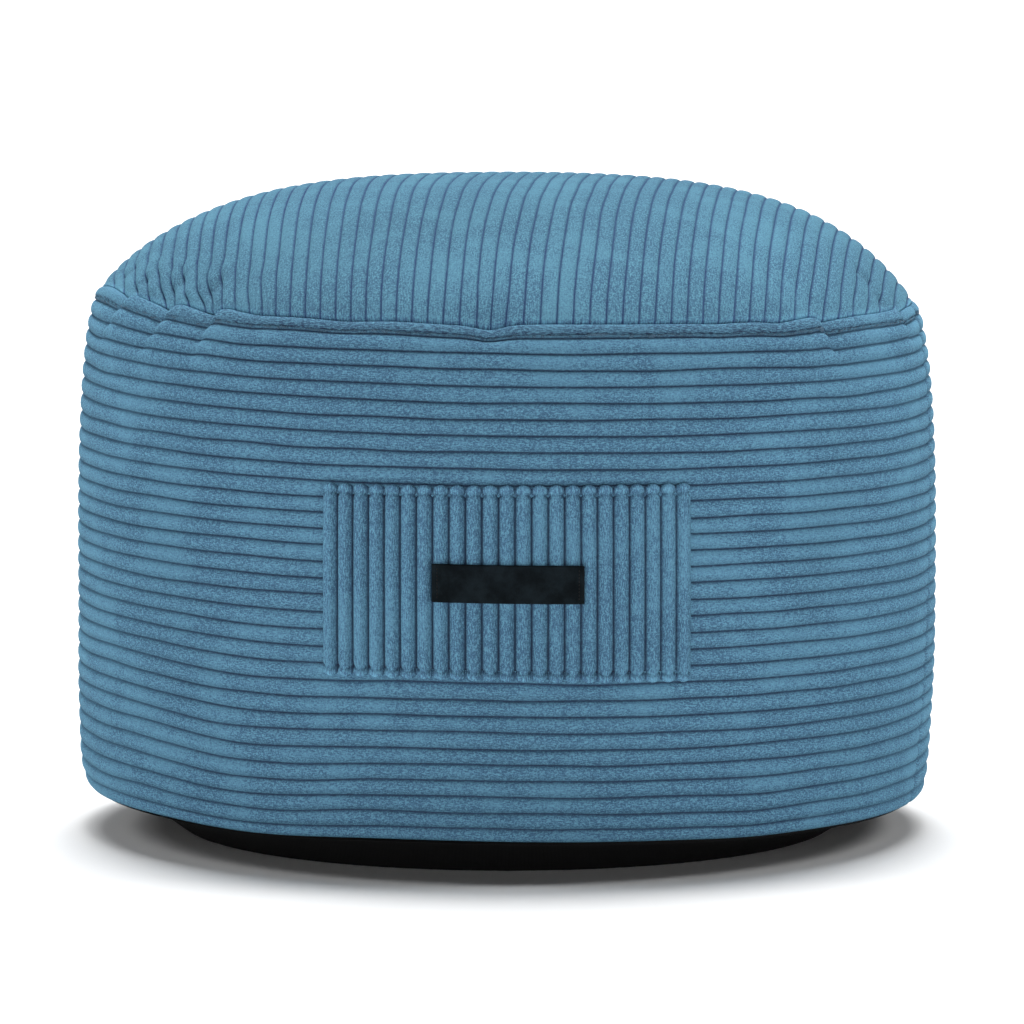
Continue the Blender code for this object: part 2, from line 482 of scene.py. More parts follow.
def capsule(sides=6, rings=5):
    # a short round-ended thread along x, length 1 and thickness 1
    turn = math.pi * (np.arange(rings)[:, None] + 0.5) / rings
    angle = 2 * math.pi * np.arange(sides) / sides
    width = 0.5 * np.sin(turn) ** 0.6
    points = np.broadcast_arrays(-0.5 * np.cos(turn), width * np.cos(angle), width * np.sin(angle))
    faces = gridFaces(rings, sides, closed=True)
    faces.append(list(range(sides)))
    faces.append(list(range((rings - 1) * sides, rings * sides))[::-1])
    return np.stack(points, -1).reshape(-1, 3), faces


def addStitches(name, middles, alongs, outs, sizes, material):
    # one stitch at each middle; sizes are length, width and thickness
    shape, shapeFaces = capsule()
    points, faces = [], []
    for middle, along, out, size in zip(middles, alongs, outs, np.broadcast_to(sizes, (len(middles), 3))):
        along = unit(along)
        side = unit(np.cross(out, along))
        start = len(points) * len(shape)
        points.append(middle + shape * size @ np.array([along, side, np.cross(along, side)]))
        faces.extend([[start + index for index in face] for face in shapeFaces])
    return addPiece(name, np.concatenate(points), faces, material)


# nodes: a socket is linked and anything else is set
def setInputs(node, inputs):
    for place, value in inputs.items():
        if isinstance(value, bpy.types.NodeSocket):
            node.id_data.links.new(value, node.inputs[place])
        elif value is not None:
            node.inputs[place].default_value = value


def addNode(tree, kind, inputs, output=0, **settings):
    node = tree.nodes.new("ShaderNode" + kind)
    for key, value in settings.items():
        setattr(node, key, value)
    setInputs(node, inputs)
    return node.outputs[output]


def newMaterial(name):
    material = bpy.data.materials.new(name)
    material.use_nodes = True
    tree = material.node_tree
    tree.nodes.clear()
    shader = tree.nodes.new("ShaderNodeBsdfPrincipled")
    setInputs(tree.nodes.new("ShaderNodeOutputMaterial"), {"Surface": shader.outputs["BSDF"]})
    return material, tree, shader


def objectPlace(tree):
    return addNode(tree, "TexCoord", {}, "Object")


def attributeNode(tree, name):
    return addNode(tree, "Attribute", {}, "Fac", attribute_name=name)


def mathNode(operation, first, *others, clamp=False):
    inputs = dict(enumerate((first, *others)))
    return addNode(first.id_data, "Math", inputs, operation=operation, use_clamp=clamp)


def times(first, second, clamp=False):
    return mathNode("MULTIPLY", first, second, clamp=clamp)


def scaled(value, factor, shift):
    return mathNode("MULTIPLY_ADD", value, factor, shift)


def rampNode(value, low, high, start=0, end=1, kind="SMOOTHSTEP"):
    inputs = {"Value": value, "From Min": low, "From Max": high, "To Min": start, "To Max": end}
    return addNode(value.id_data, "MapRange", inputs, interpolation_type=kind)


def noiseNode(vector, *values):
    # values: scale, detail, roughness, distortion
    inputs = dict(zip(("Scale", "Detail", "Roughness", "Distortion"), values))
    return addNode(vector.id_data, "TexNoise", {"Vector": vector, **inputs}, "Fac")


def joinNode(*values):
    return addNode(values[0].id_data, "CombineXYZ", dict(enumerate(values)))


def bumpNode(height, strength, distance):
    inputs = {"Height": height, "Strength": strength, "Distance": distance}
    return addNode(height.id_data, "Bump", inputs)


def colourMix(share, first, second, blend="MIX"):
    tree = next(value.id_data for value in (share, first) if isinstance(value, bpy.types.NodeSocket))
    values = [(*value, 1) if isinstance(value, tuple) else value for value in (share, first, second)]
    return addNode(tree, "Mix", dict(zip((0, 6, 7), values)), 2, data_type="RGBA", blend_type=blend)


corduroy = {
    "deep": (0.05, 0.111, 0.19),  # pile that leans away, a little violet
    "fair": (0.118, 0.28, 0.404),  # pile that is brushed flat
    # groove colour: the darker weave in a groove with painted shade over it; it is also the colour of the
    # painted shade along seams, folds and pits
    "groove": (0.026, 0.04, 0.079),
    "grooveFrom": 0.78,  # share of the half rib where the groove starts to darken
    "ragged": 0.44,  # how far the pile strays over that edge
    "napSize": 20,
    "pileSize": 1000,
    "grain": 3.2,
    "streakAlong": 300,
    "streakAcross": 20.7,
    "streaks": 3.6,
    "curlAlong": 430,
    "curlAcross": 8.1,
    "curl": 0.75,  # how bright the curls of pile stand out
    "roughness": 0.92,
    "sheen": 0.08,
    "bump": 0.6,
}


def clothNoise(along, across, perAlong, perAcross, *noise):
    # noise that is laid out along and across the ribs
    return noiseNode(joinNode(times(along, perAlong), times(across, perAcross)), 1, *noise)


def corduroyMaterial(name, strength, streaks, flankShade=0.0, tint=(1, 1, 1), grooveTint=(1, 1, 1)):
    material, tree, shader = newMaterial(name)
    place = objectPlace(tree)
    across, along = attributeNode(tree, "ribAcross"), attributeNode(tree, "ribAlong")
    inRib = mathNode("FRACT", across)
    fromCrest = mathNode("ABSOLUTE", scaled(inRib, 2, -1))  # 0 on a rib's crest, 1 in the groove
    # where the nap lies brushed flat and pale, and where it stands up and speckles
    nap = noiseNode(place, corduroy["napSize"], 3, 0.55, 0.6)
    patchy = noiseNode(place, corduroy["napSize"] * 3.1, 2, 0.5, 0.3)
    flat = rampNode(scaled(patchy, 0.35, nap), 0.56, 0.86)
    pile = noiseNode(place, corduroy["pileSize"], 2, 0.6, 0.2)
    streak = clothNoise(along, across, corduroy["streakAlong"], corduroy["streakAcross"], 2, 0.55, 0.4)
    # groove darkening: the darker weave at a groove's bottom with painted shade over it; the pile leaves a
    # ragged edge to it, and breaks up every line of painted shade
    strays = scaled(streak, corduroy["ragged"], -0.5 * corduroy["ragged"])
    inGroove = rampNode(mathNode("ADD", fromCrest, strays), corduroy["grooveFrom"], 1)
    broken = times(attributeNode(tree, "shade"), rampNode(streak, 0.36, 0.62, 1.8, 0.12), clamp=True)
    # one value from dark to fair
    grain = scaled(pile, corduroy["grain"], -0.5 * corduroy["grain"])
    lines = scaled(streak, corduroy["streaks"] * streaks, -0.5 * corduroy["streaks"] * streaks)
    loud = rampNode(flat, 0, 1, 1, 0.4, "LINEAR")
    wavy = clothNoise(along, across, corduroy["curlAlong"], corduroy["curlAcross"], 1, 0.5, 0.9)
    curl = rampNode(mathNode("ABSOLUTE", mathNode("ADD", wavy, -0.5)), 0, 0.055, 1, 0)
    curls = scaled(curl, corduroy["curl"] * streaks, -0.35 * corduroy["curl"] * streaks)
    texture = times(mathNode("ADD", mathNode("ADD", grain, lines), curls), loud)
    tone = mathNode("ADD", scaled(flat, 0.2, 0.42), texture, clamp=True)
    fairColour = tuple(part * share for part, share in zip(corduroy["fair"], tint))
    grooveColour = tuple(part * share for part, share in zip(corduroy["groove"], grooveTint))
    fair = colourMix(tone, corduroy["deep"], fairColour)
    shaded = colourMix(times(inGroove, attributeNode(tree, "grooveWeaveAndShade")), fair, grooveColour)
    darker = colourMix(broken, shaded, corduroy["groove"])
    # painted shade: the second flank of each rib, the lower one on the band and the right one on the patch,
    # is painted darker
    lower = times(rampNode(inRib, 0.45, 0.85), flankShade)
    # the level holds random nap patches and the painted light and shade of each piece
    level = times(scaled(lower, -strength, strength), attributeNode(tree, "napAndPaintedLight"))
    height = mathNode("ADD", times(pile, 0.7), times(streak, 0.5 * streaks))
    setInputs(shader, {
        "Base Color": colourMix(1.0, darker, joinNode(level, level, level), "MULTIPLY"),
        "Normal": bumpNode(times(height, loud), corduroy["bump"], 0.0007),
        "Roughness": corduroy["roughness"],
        "Specular IOR Level": 0.06,
        "Sheen Weight": corduroy["sheen"],
        "Sheen Roughness": 0.45,
        "Sheen Tint": (0.28, 0.85, 1.0, 1.0),
    })
    return material


def leatherMaterial():
    material, tree, shader = newMaterial("blackLeather")
    place = objectPlace(tree)
    grain = addNode(tree, "TexVoronoi", {"Vector": place, "Scale": 900}, "Distance")
    cloudy = noiseNode(place, 90, 5, 0.65)
    worn = rampNode(cloudy, 0.3, 0.7)
    setInputs(shader, {
        "Base Color": colourMix(worn, (0.0016, 0.0037, 0.0052), (0.006, 0.0114, 0.0152)),
        "Normal": bumpNode(grain, 0.25, 0.0003),
        "Roughness": rampNode(cloudy, 0.3, 0.7, 0.62, 0.48),
        "Specular IOR Level": 0.05,
    })
    return material


def baseMaterial():
    material, tree, shader = newMaterial("blackBaseCloth")
    wave = {"Vector": objectPlace(tree), "Scale": 420, "Distortion": 1.2}
    crossed = times(*[addNode(tree, "TexWave", wave, "Fac", bands_direction=way) for way in "XY"])
    setInputs(shader, {
        "Base Color": colourMix(crossed, (0.011, 0.011, 0.0116), (0.024, 0.024, 0.025)),
        "Normal": bumpNode(crossed, 0.4, 0.0003),
        "Roughness": 0.9,
        "Specular IOR Level": 0.05,
    })
    return material


def threadMaterial(name, dark, light):
    material, tree, shader = newMaterial(name)
    twist = rampNode(noiseNode(objectPlace(tree), 1600), 0.35, 0.65)
    colour = colourMix(twist, dark, light)
    setInputs(shader, {"Base Color": colour, "Roughness": 0.75, "Specular IOR Level": 0.3})
    return material


# painted light: one cloth, painted lighter on the side, which gets less light than the crown
topTint, sideTint = {"tint": (0.95, 1.0, 0.93), "grooveTint": (1.1, 1.1, 1.7)}, {"tint": (0.99, 1.0, 0.985)}
topCloth = corduroyMaterial("blueCorduroyTop", strength=0.92, streaks=0.6, **topTint)
bandCloth = corduroyMaterial("blueCorduroyBand", strength=1.21, streaks=1.0, flankShade=0.25, **sideTint)
patchCloth = corduroyMaterial("blueCorduroyPatch", strength=1.2, streaks=1.45, flankShade=0.24, **sideTint)
seamThread = threadMaterial("navyThread", (0.008, 0.014, 0.026), (0.022, 0.04, 0.065))
pileThread = threadMaterial("blueThread", (0.028, 0.06, 0.1), (0.062, 0.14, 0.212))
labelThread = threadMaterial("blackThread", (0.0015, 0.0015, 0.0018), (0.004, 0.004, 0.0045))
blackLeather = leatherMaterial()
blackCloth = baseMaterial()
print("materials made")


# side band: one strip round the body, its ends joined at the right
sideBand = {
    "firstRib": 0.0074,  # seam to first groove
    "pitch": 0.00895,
    "ribs": 32,
    "lowShift": 0.0016,  # how much lower the lower ribs sit
    "relief": 0.0024,
    "ribFullness": 2.3,
    "ribCorner": 0.56,
    "samples": (0, 0.08, 0.2, 0.38, 0.58, 0.78, 0.91),
    "seamRibSamples": (0, 0.05, 0.12, 0.24, 0.38, 0.52, 0.61, 0.67, 0.72, 0.78, 0.88),
    "wander": 0.00018,  # how far a groove strays from its line
    "waves": 9,  # each groove strays by this many slow waves of its own
    "stitchLine": 0.72,  # across the seam rib
    "pressed": 0.0011,  # behind the patch
    "pressedHalf": (0.099, 0.048),
    "pressedMiddle": (labelBox[0].z + labelBox[1].z) / 2,
    "furrow": 0.0014,
    "turnsOver": 0.42,  # share of a groove's depth that the top rib keeps above its crest
    "shades": {"sink": 0.2, "join": 0.3, "stitched": 0.95, "seamRib": 0.28},
    "seamRibPaintedShade": 0.13,
    "paintedShadeSides": 0.02,
    # azimuth, rib, half width, half the ribs, degrees that it slants a rib, how much fairer
    "brushedPlaces": (
        (44, 15, 5, 7, -0.5, -0.09),
        (62, 6, 7, 3.5, -0.6, 0.06),
        (38, 7, 5, 3, -0.5, 0.05),
        (54, 25, 7, 4, -0.5, -0.06),
        (-48, 18, 8, 6, 0.5, -0.05),
        (-62, 8, 6, 3, 0.4, 0.05),
    ),
    "seed": 5,
    # azimuth from, to, degrees between columns
    "columns": ((-78, -40, 0.38), (46, 53, 0.4), (68, 92, 0.42), (-100, 100, 0.8), (-180, 180, 1.75)),
}
bandRibs = sideBand["ribs"]
bandRandom = np.random.default_rng(sideBand["seed"])
grooveWaves = bandRandom.uniform(0.0, 2 * math.pi, (bandRibs + 1, sideBand["waves"]))
grooveSizes = bandRandom.normal(size=(bandRibs + 1, sideBand["waves"]))
ribStrength = 1 + 0.06 * bandRandom.normal(size=bandRibs + 1)
grooveNumbers = np.arange(bandRibs - 1)
grooveHeights = seamHeight - sideBand["firstRib"] - grooveNumbers * sideBand["pitch"]
grooveHeights = grooveHeights - sideBand["lowShift"] * ease(grooveNumbers, 13, 26)
grooveHeights = np.array([seamHeight, *grooveHeights, hemHeight])


def ribHeight(across):
    return np.interp(across, np.arange(bandRibs + 1), grooveHeights)


def grooveWander(azimuth, groove):
    total = 0
    for number in range(sideBand["waves"]):
        size = grooveSizes[groove, number] / (1 + 0.25 * number)
        total = total + size * np.sin((3 + 3 * number) * np.radians(azimuth) + grooveWaves[groove, number])
    return sideBand["wander"] * total


def inGathers(azimuth):
    # 1 where the band is folded into the seam at the left
    return ease(wrapped(azimuth), -72, -66) * fade(wrapped(azimuth), -44, -36)


def roundTheSides(azimuth):
    # 0 at the front and the back, 1 at the far left and right, where the seam lies softer
    return ease(np.abs(np.sin(np.radians(azimuth))), 0.62, 0.9)


def ripple(azimuth, first, second, shift):
    return np.sin(first * np.radians(azimuth)) * np.sin(second * np.radians(azimuth) + shift)


def joinAzimuth(height):
    return join["azimuth"] - join["lean"] * (seamHeight - height)


def pressedIn(azimuth, height):
    # the patch, sewn down tight, presses the band in behind it
    sideways = np.abs(np.radians(wrapped(azimuth)) * bodyRadius)
    fromMiddle = np.abs(height - sideBand["pressedMiddle"])
    halfWidth, halfHeight = sideBand["pressedHalf"]
    inside = fade(sideways, halfWidth - 0.006, halfWidth)
    return sideBand["pressed"] * inside * fade(fromMiddle, halfHeight - 0.005, halfHeight)


def bandSurface(azimuth, across):
    # azimuth in degrees from the join round to it again; across counts ribs down from the seam
    rib = np.minimum(np.floor(across).astype(int), bandRibs - 1)
    inRib = across - rib
    height = ribHeight(across)
    wander = grooveWander(azimuth, rib) * (1 - inRib) + grooveWander(azimuth, rib + 1) * inRib
    wander = wander * ease(across, 0, 1) * fade(across, bandRibs - 1, bandRibs)
    depth = seamHeight - height
    lift, sink = gathering(azimuth, depth)
    fromJoin = azimuth - joinAzimuth(height)
    sink = sink + join["depth"] * hill(np.minimum(fromJoin, 360 - fromJoin), join["halfWidth"])
    stepped = join["step"] * (1 - 0.75 * ease(depth, 0, 0.12)) * fade(depth, 0.24, 0.28)
    lift = lift + stepped * np.exp(-fromJoin / 9) * ease(depth, 0, 0.007)
    shape = ribShape(inRib, sideBand["ribFullness"], sideBand["ribCorner"])
    # the top one turns over into the seam
    turnsOver = sideBand["turnsOver"] - 0.24 * roundTheSides(azimuth)
    shape = np.where((rib == 0) & (inRib < 0.5), 1 - turnsOver * (1 - shape), shape)
    line = sideBand["stitchLine"] + 0.025 * np.sin(23 * np.radians(azimuth))
    furrow = hill(inRib - line, 0.06) * (rib == 0) * sideBand["furrow"]
    furrow = furrow * (0.65 + 0.35 * ripple(azimuth, 61, 97, 1)) * (1 - 0.7 * inGathers(azimuth))
    below = sideBand["relief"] * ribStrength[rib] * (1 - shape) + sink + furrow + pressedIn(azimuth, height)
    outward, upward = sideNormal(height)
    return turned(azimuth, sideRadius(height) - outward * below, height - upward * below + wander + lift)


def spreadColumns(start, end, stretches):
    # angles from start to end, as close together as the first stretch that holds them says
    fine = np.linspace(start, end, 20001)
    spacing = np.full(len(fine), float(stretches[-1][2]))
    for low, high, step in stretches[::-1]:
        spacing[np.abs(wrapped(fine - (low + high) / 2)) <= (high - low) / 2] = step
    walked = np.concatenate([[0], np.cumsum(np.diff(fine) / spacing[1:])])
    return np.interp(np.linspace(0, walked[-1], int(walked[-1]) + 1), walked, fine)


def bandLooks(azimuth, rows, near):
    # what the cloth's material reads, for each row of the grid
    top = azimuth[:1]
    ribPlace = np.where(rows < 0.5, 0.12 + 0.76 * rows, rows)  # no groove along the seam itself
    across = np.concatenate([ribPlace[:1], ribPlace, ribPlace[-1:]]) + 0 * top
    sink = gathering(azimuth, seamHeight - ribHeight(rows))[1]
    shades = sideBand["shades"]
    shade = shades["sink"] * np.clip(sink / tucks["sink"], 0, 1) + shades["join"] * hill(near, 0.6)
    ragged = (0.6 + 0.4 * ripple(azimuth, 143, 61, 2)) * (1 - 0.6 * inGathers(azimuth))
    shade = shade + shades["stitched"] * ragged * hill(rows - sideBand["stitchLine"], 0.07)
    shade = shade + shades["seamRib"] * (1 - roundTheSides(azimuth)) * hill(rows - 0.45, 0.4)
    # painted shade: the cloth is painted darker round the sides; in a few slanting places hands brushed the
    # nap lighter or darker
    fromFront = np.abs(wrapped(top))
    napAndPaintedLight = 1 - sideBand["paintedShadeSides"] * ease(fromFront, 22, 55) + 0 * across
    for middle, middleRib, halfWidth, halfRibs, slant, amount in sideBand["brushedPlaces"]:
        fromMiddle = wrapped(top - middle) - slant * (across - middleRib)
        napAndPaintedLight = napAndPaintedLight * (1 + amount * hill(fromMiddle, halfWidth) * hill(across - middleRib, halfRibs))
    # painted shade: the seam rib is painted darker, less so round the sides
    seamRibShade = sideBand["seamRibPaintedShade"] - 0.04 * roundTheSides(top)
    # the groove darkening, weave and painted shade, is weaker round the sides
    looks = {
        "ribAcross": across,
        "ribAlong": np.radians(top) * bodyRadius + 0 * across,
        "shade": np.clip(np.concatenate([shade[:1], shade, shade[-1:]]), 0, 0.9),
        "grooveWeaveAndShade": 0.92 - 0.34 * ease(fromFront, 30, 68) + 0 * across,
        "napAndPaintedLight": napAndPaintedLight * (1 - seamRibShade * (across < 0.99)),
    }
    return {key: np.append(grid.ravel(), [0, 0]) for key, grid in looks.items()}


def makeSideBand():
    rows = [rib + sample for rib in range(1, bandRibs) for sample in sideBand["samples"]]
    rows = np.array([*sideBand["seamRibSamples"], *rows, bandRibs])[:, None]
    start, end = join["azimuth"] + join["gap"], join["azimuth"] + 360 - join["gap"]
    columns = spreadColumns(start, end, sideBand["columns"])[None, :]
    height = ribHeight(rows)
    # the columns lean with the join where they are near it
    near = np.minimum(columns - join["azimuth"], join["azimuth"] + 360 - columns)
    azimuth = columns + (joinAzimuth(height) - join["azimuth"]) * hill(near, 14)
    points = bandSurface(azimuth, rows)
    points = settle(points) + turned(azimuth, *sideNormal(height)) * swellOver(points)[..., None]
    # turned-in edges at the seam and the hem, and the inside faces that close the drum
    topEdge = points[:1] * np.array([0.975, 0.975, 1]) - np.array([0, 0, 0.0022])
    hemEdge = points[-1:] * np.array([0.985, 0.985, 1]) + np.array([0, 0, 0.0006])
    centres = [[0, 0, seamHeight - 0.004], [0, 0, hemHeight + 0.001]]
    points, faces = closedDrum(np.concatenate([topEdge, points, hemEdge]), centres)
    piece = addPiece("sideBand", points, faces, bandCloth, **bandLooks(azimuth, rows, near))
    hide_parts("side_band")
    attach(piece, "root")
    print("side band made:", len(faces), "faces")


def seamFrames(azimuth, across):
    # places on the band with the direction along the rib and the way out
    azimuth = np.where(azimuth < join["azimuth"], azimuth + 360, azimuth)[:, None]
    across = np.full_like(azimuth, across)
    here = settle(bandSurface(azimuth, across))
    along = (settle(bandSurface(azimuth + 0.25, across)) - here)[:, 0]
    up = settle(bandSurface(azimuth, across - 0.12)) - settle(bandSurface(azimuth, across + 0.12))
    out = unit(np.cross(along, up[:, 0]))
    return here[:, 0] + out * swellOver(here), along, out


# the seam allowance is stitched down below the seam; its pile stands up between the stitches
seamStitches = {
    "line": 0.87,
    "pitch": 0.0034,
    "size": (0.0034, 0.001, 0.0008),  # length, width, thickness
    "unevenness": 0.4,
    "strayAlong": 0.28,  # of the pitch
    "strayUp": 0.00028,
    "sunk": (0.0001, 0.0005),  # least and most
    "slant": 0.08,
    "seed": 21,
}


def makeSeamStitches():
    count = int(2 * math.pi * seamRadius / seamStitches["pitch"])
    draw = np.random.default_rng(seamStitches["seed"])
    upright = np.array([0, 0, 1])
    placed = np.arange(count) + draw.normal(size=count) * seamStitches["strayAlong"]
    azimuth = join["azimuth"] + 0.6 + placed * (358.8 / count)
    middles, alongs, outs = seamFrames(azimuth, seamStitches["line"])
    middles = middles + draw.normal(size=(count, 1)) * seamStitches["strayUp"] * upright
    middles = middles - outs * draw.uniform(*seamStitches["sunk"], size=(count, 1))
    alongs = unit(alongs) + draw.normal(size=(count, 1)) * seamStitches["slant"] * upright
    sizes = seamStitches["size"] * np.exp(draw.normal(size=(count, 3)) * seamStitches["unevenness"])
    piece = addStitches("seamStitches", middles, alongs, outs, sizes, pileThread)
    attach(piece, "root")
    print("seam stitches made:", count)


# top panel: ribs run front to back over the crown
topPanel = {
    "pitch": 0.00895,
    "phase": 0.0034,  # x of the rib numbered 0 where the ribs are set out
    "narrowLeft": 1.08e-4,  # how the ribs close up towards the sides
    "narrowRight": 1.476e-4,
    "leanLeft": 0.012,
    "leanMiddle": 0.088,
    "leanRight": 0.123,
    "leanFarLeft": -0.085,
    "leanAll": 0.06,
    "fanLength": 0.2,
    "firstRow": -0.2,  # y of the line where the ribs are set out
    "relief": 0.0018,
    "ribFullness": 2.9,
    "ribCorner": 0.55,
    "samples": (0, 0.07, 0.16, 0.32, 0.5, 0.68, 0.84, 0.93),
    "rows": 180,
    "wander": 0.00008,
    "seamSink": 0.0003,
    "sinkReach": 0.003,
    "grooveWeaveAndShade": 0.8,
    "shades": {"seam": 0.42, "hollow": 0.3},
    "paintedLightFoot": 0.45,  # painted light: how much lighter the cloth is painted at the seam, the front and the back
    "paintedLightFront": 0.21,
    "paintedLightBack": 0.27,
    # x, y, half width, half depth, how much fairer
    "brushedPlaces": ((-0.04, -0.17, 0.13, 0.045, -0.15), (0.17, -0.15, 0.05, 0.06, 0.12)),
    # squeezed ribs by the seam: azimuth, half width, waves per degree, sideways shift in degrees, reach
    "squeeze": (60, 9, 0.12, 0.3, 0.03),
    "pinch": (-2.3, 2.6, 0.22, 0.03),  # ribs pinched together: azimuth, half width, share, reach
    # ribs drawn sideways above the gathers: azimuth, half width, degrees at the seam, degrees halfway
    "drawn": (
        (-56, 3, 1.6, -1.25),
        (-47.5, 3, 1.7, -1.1),
        (-65, 3.4, 1.3, -1.4),
        (-75, 4, 1.5, -1.6),
        (-38, 3, 0.35, -0.35),
    ),
    "drawnReach": 0.014,
    "bendAt": 0.024,
    "puffed": (-66, 20, 1.3),  # rounder ribs: azimuth, half width, how much
    # hollows: azimuth, distance from the seam, depth, half size along the seam, half size up the crown
    "hollows": (
        (-54.9, 0.016, 0.0019, 0.005, 0.009),
        (-46.2, 0.016, 0.0021, 0.005, 0.009),
        (-51.6, 0.009, -0.0011, 0.005, 0.007),
        (-60.2, 0.009, -0.0011, 0.005, 0.007),
        (-42.5, 0.009, -0.0008, 0.005, 0.007),
        (-64.5, 0.015, 0.0014, 0.005, 0.008),
        (-74, 0.017, 0.0014, 0.005, 0.008),
        (66.8, 0.024, 0.0018, 0.005, 0.008),
        (66, 0.008, 0.0014, 0.006, 0.006),
        (120, 0.012, 0.0015, 0.005, 0.006),
        (-140, 0.012, 0.0016, 0.005, 0.006),
        (163, 0.011, 0.0014, 0.005, 0.006),
    ),
    "seed": 9,
}


def ribLine(number, y):
    # x of the line that a groove or crest follows over the crown, seen from above
    narrow = np.where(number < 0, topPanel["narrowLeft"], topPanel["narrowRight"])
    setOut = topPanel["pitch"] * number * (1 - narrow * number**2) + topPanel["phase"]
    lean = topPanel["leanLeft"] + (topPanel["leanMiddle"] - topPanel["leanLeft"]) * ease(number, -16, 0)
    lean = lean + (topPanel["leanRight"] - topPanel["leanMiddle"]) * ease(number, 12, 22)
    run = y - topPanel["firstRow"]
    fan = topPanel["fanLength"] * np.tanh(run / topPanel["fanLength"])
    farLeft = topPanel["leanFarLeft"] * fade(number, -27, -15)
    return setOut + topPanel["leanAll"] * run + (lean - topPanel["leanAll"]) * fan + farLeft * (fan - 0.085)


def layRibs():
    # numbers of the lines that cross the crown, and x and y along each from the front to the back
    yGrid = np.linspace(-seamRadius, seamRadius, 1601)

    def beyondSeam(numbers):
        return ribLine(numbers[:, None], yGrid) ** 2 + yGrid**2 - seamRadius**2

    tryLines = np.linspace(-32, 30, 1241)
    crossing = tryLines[(beyondSeam(tryLines) < 0).sum(1) > 60]
    first, last = crossing.min(), crossing.max()
    samples = topPanel["samples"]
    numbers = [rib + sample for rib in range(math.floor(first), math.ceil(last)) for sample in samples]
    numbers = np.array([first, *[number for number in numbers if first + 0.04 < number < last - 0.04], last])
    beyond = beyondSeam(numbers)
    pick = np.arange(len(numbers))

    def seamAt(inside, outside):
        share = beyond[pick, inside] / (beyond[pick, inside] - beyond[pick, outside])
        return yGrid[inside] + (yGrid[outside] - yGrid[inside]) * share

    frontAt = np.argmax(beyond < 0, 1)
    backAt = len(yGrid) - 1 - np.argmax(beyond[:, ::-1] < 0, 1)
    frontY, backY = seamAt(frontAt, frontAt - 1), seamAt(backAt, backAt + 1)
    share = np.linspace(-1, 1, topPanel["rows"])[:, None]
    share = 0.5 + 0.5 * (0.55 * np.sin(0.5 * math.pi * share) + 0.45 * share)
    y = frontY + (backY - frontY) * share
    number = np.broadcast_to(numbers, y.shape)
    return number, ribLine(number, y), y


def turnRibs(x, y, azimuth, away, toSeam, draw):
    # degrees that the ribs stray, squeeze up or are drawn sideways
    drift = 0
    for _ in range(10):
        waveAcross, waveAlong = draw.uniform(-90.0, 90.0), draw.uniform(15.0, 75.0)
        drift = drift + np.sin(waveAcross * x + waveAlong * y + draw.uniform(0.0, 6.28))
    turnBy = np.degrees(topPanel["wander"] * drift / np.maximum(away * seamRadius, 0.03))
    turnBy = turnBy * ease(away, 0.1, 0.5) * ease(toSeam, 0, 0.02)
    middle, halfWidth, waves, shift, reach = topPanel["squeeze"]
    window = hillAt(azimuth, middle, halfWidth) * fade(toSeam, 0, reach)
    turnBy = turnBy + shift * window * np.sin(2 * math.pi * waves * wrapped(azimuth - middle))
    bend = hill(toSeam - topPanel["bendAt"], 0.011)
    for middle, halfWidth, atSeam, halfway in topPanel["drawn"]:
        shift = atSeam * fade(toSeam, 0, topPanel["drawnReach"]) + halfway * bend
        turnBy = turnBy + hillAt(azimuth, middle, halfWidth) * shift
    middle, halfWidth, share, reach = topPanel["pinch"]
    pinched = share * hillAt(azimuth, middle, halfWidth) * fade(toSeam, 0, reach)
    return turnBy - pinched * wrapped(azimuth - middle)


def topLooks(number, x, y, azimuth, toSeam, hollow, loop):
    # what the cloth's material reads; the rim and the underside repeat it
    atGathers = ease(azimuth, -100, -84) * fade(azimuth, -46, -34)
    atSides = np.maximum(atGathers, ease(np.abs(azimuth), 34, 44) * (np.abs(azimuth) < 150))
    shade = topPanel["shades"]["seam"] * (1 - 0.85 * atSides) * np.exp(-toSeam / 0.0005)
    shade = shade + topPanel["shades"]["hollow"] * np.clip(hollow / 0.003, 0, 1)
    # the groove darkening, weave and painted shade, is stronger on the crown's left
    grooveWeaveAndShade = topPanel["grooveWeaveAndShade"] + 0.2 * ease(-azimuth, 42, 62) * (azimuth > -150)
    # painted light: the cloth is painted lighter towards the front and the back than in the middle
    napAndPaintedLight = 1 + topPanel["paintedLightFront"] * ease(-y, 0.1, 0.235) + topPanel["paintedLightBack"] * ease(y, 0, 0.2)
    # a few places where the nap is lighter or darker
    for middleX, middleY, halfX, halfY, amount in topPanel["brushedPlaces"]:
        napAndPaintedLight = napAndPaintedLight * (1 + amount * hill(x - middleX, halfX) * hill(y - middleY, halfY))
    # painted light: lighter still at the seam, where the crevice shades the foot of the crown
    napAndPaintedLight = napAndPaintedLight * (1 + topPanel["paintedLightFoot"] * fade(toSeam, 0.0005, 0.0045))
    hidden = np.ones(len(loop) + 1)
    return {
        "ribAcross": np.concatenate([number.ravel(), number.ravel()[loop], [0]]),
        "ribAlong": np.concatenate([y.ravel(), y.ravel()[loop], [0]]),
        "shade": np.append(np.clip(shade, 0, 0.8), 0.8 * hidden),
        "grooveWeaveAndShade": np.append(grooveWeaveAndShade, topPanel["grooveWeaveAndShade"] * hidden),
        "napAndPaintedLight": np.append(napAndPaintedLight, hidden),
    }


